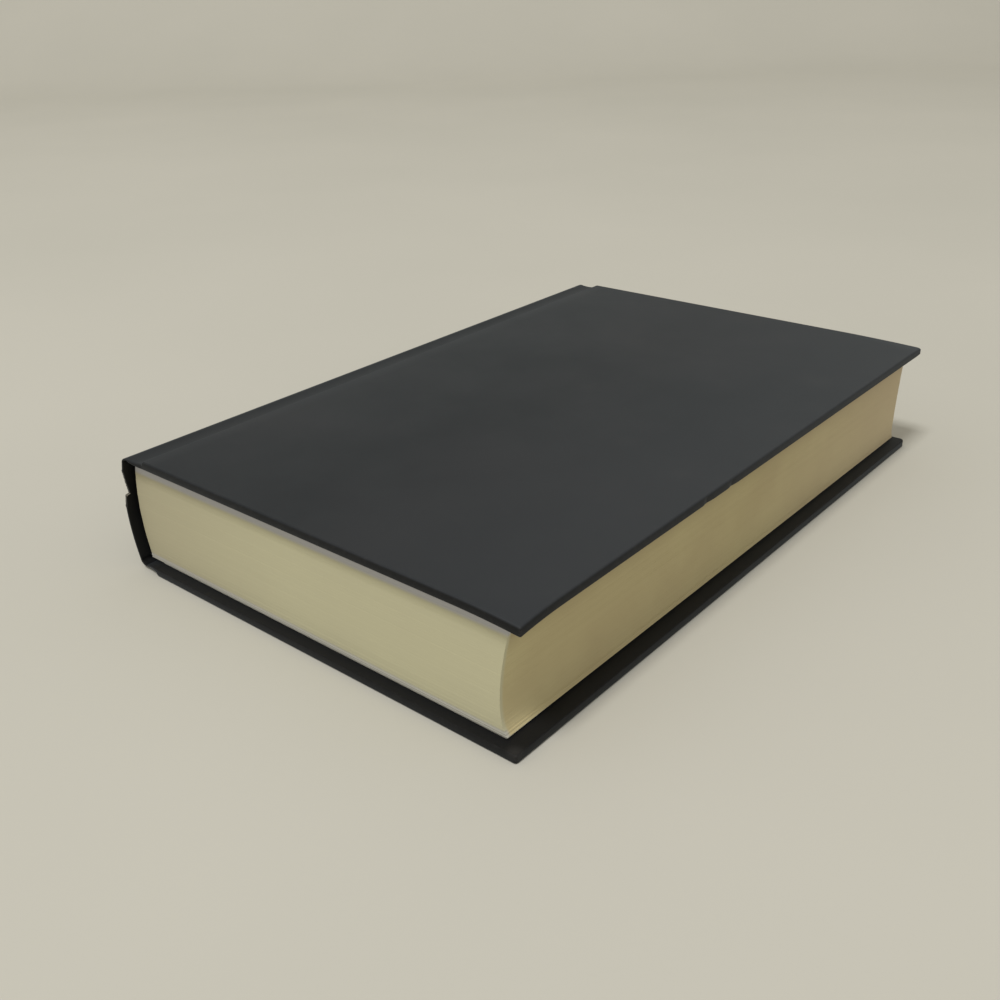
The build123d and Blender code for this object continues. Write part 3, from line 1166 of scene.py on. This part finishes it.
# Floor and backdrop. One pale matt sweep under and behind the book.
sweep_front = -1.6
sweep_back = 1.9
sweep_width = 3.2
sweep_round = 0.5
sweep_height = 1.9
sweep_turn = math.radians(40.7)
sweep_steps = 12
sweep_mesh = bmesh.new()
round_start = sweep_back - sweep_round
profile = [(sweep_front, 0), (0, 0), (round_start, 0)]
for step in range(1, sweep_steps + 1):
    angle = math.radians(90 * step / sweep_steps)
    y = round_start + sweep_round * math.sin(angle)
    profile.append((y, sweep_round * (1 - math.cos(angle))))
profile.append((sweep_back, sweep_height))
sides = []
for side in (-1, 1):
    sides.append([sweep_mesh.verts.new((side * sweep_width, y, z)) for y, z in profile])
for here in range(len(profile) - 1):
    sweep_mesh.faces.new((sides[0][here], sides[1][here], sides[1][here + 1], sides[0][here + 1]))
floor = mesh_piece("pale_sweep", sweep_mesh, smooth=True)
floor.rotation_euler = (0, 0, sweep_turn)

# Painted board in a warm off-white, with a faint unevenness of the paint.
paint_cloud = 0.3
paint, surface, place = new_material("matt_off_white_paint")
paint_noise = add_node(
    paint, "ShaderNodeTexNoise", {"Vector": place, "Scale": 1 / paint_cloud, "Detail": 3}
)
off_white = add_node(
    paint, "ShaderNodeMix", {"Factor": paint_noise.outputs[0], 6: linear("C0BEB3"), 7: linear("CAC7BC")},
    data_type="RGBA",
)
fill_inputs(paint, surface, {
    "Base Color": off_white.outputs[2], "Roughness": 0.95, "Specular IOR Level": 0.1,
})
floor.data.materials.append(paint)

# Light. A plain, slightly warm sky, and one soft lamp high above, a little to the tail side. The
# sky that the picture sees behind the floor is as pale as the floor.
sky_strength = 0.55
sky_colour = (1, 0.97, 0.91, 1)
lamp_place = Vector((0.2, -1.68, 3.6))
lamp_aim = Vector((0, 0, 0.02))
lamp_size = 0.8
lamp_power = 80
world = bpy.data.worlds.new("plain_sky")
bpy.context.scene.world = world
world.use_nodes = True
sky = world.node_tree.nodes["Background"]
fill_inputs(world, sky, {"Color": sky_colour, "Strength": sky_strength})
seen_sky = add_node(world, "ShaderNodeBackground", {"Color": linear("D9D6CA"), "Strength": 1})
rays = add_node(world, "ShaderNodeLightPath", {})
shown_sky = add_node(
    world, "ShaderNodeMixShader",
    {0: rays.outputs["Is Camera Ray"], 1: sky.outputs[0], 2: seen_sky.outputs[0]},
)
fill_inputs(world, world.node_tree.nodes["World Output"], {"Surface": shown_sky.outputs[0]})
lamp_data = bpy.data.lights.new("soft_lamp", "AREA")
lamp_data.shape = "SQUARE"
lamp_data.size = lamp_size
lamp_data.energy = lamp_power
lamp = bpy.data.objects.new("soft_lamp", lamp_data)
bpy.context.scene.collection.objects.link(lamp)
lamp.location = lamp_place
lamp.rotation_euler = (lamp_aim - lamp_place).to_track_quat("-Z", "Y").to_euler()

# Camera. It looks down over the near corner, with a slight roll as the picture was held.
camera_place = Vector((0.21825, -0.28397, 0.17927))
camera_aim = Vector((0.01133, -0.04378, 0.0209))
camera_roll = math.radians(-1.765)
camera_lens = 39.62
camera_sensor = 36
camera_near = 0.01
camera_data = bpy.data.cameras.new("camera")
camera_data.lens = camera_lens
camera_data.sensor_width = camera_sensor
camera_data.clip_start = camera_near
camera = bpy.data.objects.new("camera", camera_data)
bpy.context.scene.collection.objects.link(camera)
aim = (camera_aim - camera_place).to_track_quat("-Z", "Y").to_matrix().to_4x4()
camera.matrix_world = Matrix.Translation(camera_place) @ aim @ Matrix.Rotation(camera_roll, 4, "Z")
bpy.context.scene.camera = camera
bpy.context.scene.view_settings.view_transform = "Standard"
